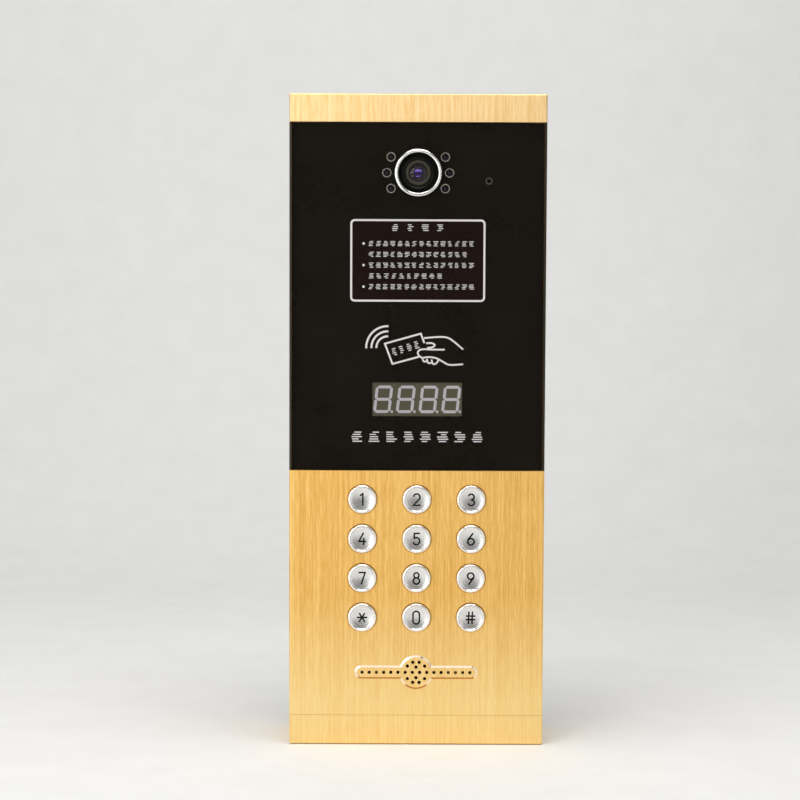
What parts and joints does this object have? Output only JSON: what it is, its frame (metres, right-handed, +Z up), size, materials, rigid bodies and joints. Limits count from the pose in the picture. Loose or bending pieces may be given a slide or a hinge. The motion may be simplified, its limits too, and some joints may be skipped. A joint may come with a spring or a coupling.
{
  "type": "door intercom panel",
  "caption": "Wall-mounted gold anodised door intercom panel: black window over camera, card reader and digit display, metal keypad, loudspeaker grille and steel wall bracket.",
  "frame": {"origin": "centre of the wall bracket's back face, which lies on the wall", "axes": "+Z up along the panel, +Y into the wall, so the front looks along -Y and +X is to the right seen from the front"},
  "size_m": [0.143, 0.052, 0.365],
  "materials": {
    "gold_aluminium": "vertically brushed and gold anodised",
    "clear_window": "polished smoked acrylic",
    "black_print": "black screen print",
    "black_plastic": "moulded",
    "dark_ball": "moulded and polished",
    "chromed_ring": "polished",
    "lamp_ring": "satin",
    "lamp_epoxy": "dark infrared epoxy",
    "lens_barrel": "black anodised",
    "lens_glass": "coated",
    "key_zinc": "turned and satin chromed",
    "silicone": "moulded",
    "foam": "closed-cell foam",
    "steel": "zinc plated",
    "green_board": "solder mask",
    "black_board": "solder mask",
    "chip_epoxy": "moulded epoxy",
    "capacitor_sleeve": "shrink sleeve",
    "relay_blue": "moulded",
    "terminal_green": "moulded",
    "nylon": "moulded",
    "copper": "bare copper track",
    "ribbon": "flat cable sleeve",
    "display_body": "moulded",
    "display_segment": "diffuser, unlit",
    "cone_paper": "coated paper",
    "ferrite": "zinc-plated yoke over ferrite",
    "cover_steel": "powder coated",
    "plunger_nylon": "moulded"
  },
  "bodies": {
    "panel": {"front_panel": "gold_aluminium", "top_cap": "gold_aluminium", "bottom_cap": "gold_aluminium", "cap_screws": "steel", "window_glass": "clear_window", "window_print": "black_print", "window_tape": "foam", "window_carrier": "black_plastic", "camera_bezel": "chromed_ring", "led_bezels": "lamp_ring", "ir_leds": "lamp_epoxy", "ir_led_board": "black_board", "camera_frame": "black_plastic", "mic_bezel": "lamp_ring", "mic_boot": "silicone", "microphone": "steel", "display_module": "display_body", "display_segments": "display_segment", "display_board": "green_board", "antenna_board": "green_board", "antenna_coil": "copper", "key_mat": "silicone", "keypad_board": "green_board", "board_screws": "steel", "speaker_gasket": "foam", "speaker_bracket": "steel", "speaker_basket": "cover_steel", "speaker_cone": "cone_paper", "speaker_magnet": "ferrite", "main_board": "green_board", "board_chips": "chip_epoxy", "board_capacitors": "capacitor_sleeve", "door_relay": "relay_blue", "terminal_block": "terminal_green", "board_headers": "nylon", "ribbon_cables": "ribbon", "tamper_switch": "black_plastic", "rear_cover": "cover_steel", "rear_screws": "steel", "wall_seal": "foam", "wall_bracket": "steel", "security_screws": "steel"},
    "camera": {"camera_ball": "dark_ball", "lens_barrel": "lens_barrel", "lens_glass": "lens_glass", "camera_board": "green_board", "camera_chips": "chip_epoxy"},
    "tamper_plunger": {"tamper_plunger": "plunger_nylon"},
    "key_1": {"key_1": "key_zinc"},
    "key_2": {"key_2": "key_zinc"},
    "key_3": {"key_3": "key_zinc"},
    "key_4": {"key_4": "key_zinc"},
    "key_5": {"key_5": "key_zinc"},
    "key_6": {"key_6": "key_zinc"},
    "key_7": {"key_7": "key_zinc"},
    "key_8": {"key_8": "key_zinc"},
    "key_9": {"key_9": "key_zinc"},
    "key_star": {"key_star": "key_zinc"},
    "key_0": {"key_0": "key_zinc"},
    "key_hash": {"key_hash": "key_zinc"}
  },
  "joints": [
    {"name": "key_1_press", "type": "slide", "parent": "panel", "child": "key_1", "axis": [0, 1, 0], "range_m": [0, 0.0015], "stiffness_N_per_m": 900},
    {"name": "key_2_press", "type": "slide", "parent": "panel", "child": "key_2", "axis": [0, 1, 0], "range_m": [0, 0.0015], "stiffness_N_per_m": 900},
    {"name": "key_3_press", "type": "slide", "parent": "panel", "child": "key_3", "axis": [0, 1, 0], "range_m": [0, 0.0015], "stiffness_N_per_m": 900},
    {"name": "key_4_press", "type": "slide", "parent": "panel", "child": "key_4", "axis": [0, 1, 0], "range_m": [0, 0.0015], "stiffness_N_per_m": 900},
    {"name": "key_5_press", "type": "slide", "parent": "panel", "child": "key_5", "axis": [0, 1, 0], "range_m": [0, 0.0015], "stiffness_N_per_m": 900},
    {"name": "key_6_press", "type": "slide", "parent": "panel", "child": "key_6", "axis": [0, 1, 0], "range_m": [0, 0.0015], "stiffness_N_per_m": 900},
    {"name": "key_7_press", "type": "slide", "parent": "panel", "child": "key_7", "axis": [0, 1, 0], "range_m": [0, 0.0015], "stiffness_N_per_m": 900},
    {"name": "key_8_press", "type": "slide", "parent": "panel", "child": "key_8", "axis": [0, 1, 0], "range_m": [0, 0.0015], "stiffness_N_per_m": 900},
    {"name": "key_9_press", "type": "slide", "parent": "panel", "child": "key_9", "axis": [0, 1, 0], "range_m": [0, 0.0015], "stiffness_N_per_m": 900},
    {"name": "key_star_press", "type": "slide", "parent": "panel", "child": "key_star", "axis": [0, 1, 0], "range_m": [0, 0.0015], "stiffness_N_per_m": 900},
    {"name": "key_0_press", "type": "slide", "parent": "panel", "child": "key_0", "axis": [0, 1, 0], "range_m": [0, 0.0015], "stiffness_N_per_m": 900},
    {"name": "key_hash_press", "type": "slide", "parent": "panel", "child": "key_hash", "axis": [0, 1, 0], "range_m": [0, 0.0015], "stiffness_N_per_m": 900},
    {"name": "camera_tilt", "type": "hinge", "parent": "panel", "child": "camera", "pos_m": [0, -0.0395, 0.1389], "axis": [1, 0, 0], "range_deg": [-12, 12]},
    {"name": "tamper_press", "type": "slide", "parent": "panel", "child": "tamper_plunger", "axis": [0, -1, 0], "range_m": [0, 0.0015], "stiffness_N_per_m": 300}
  ]
}
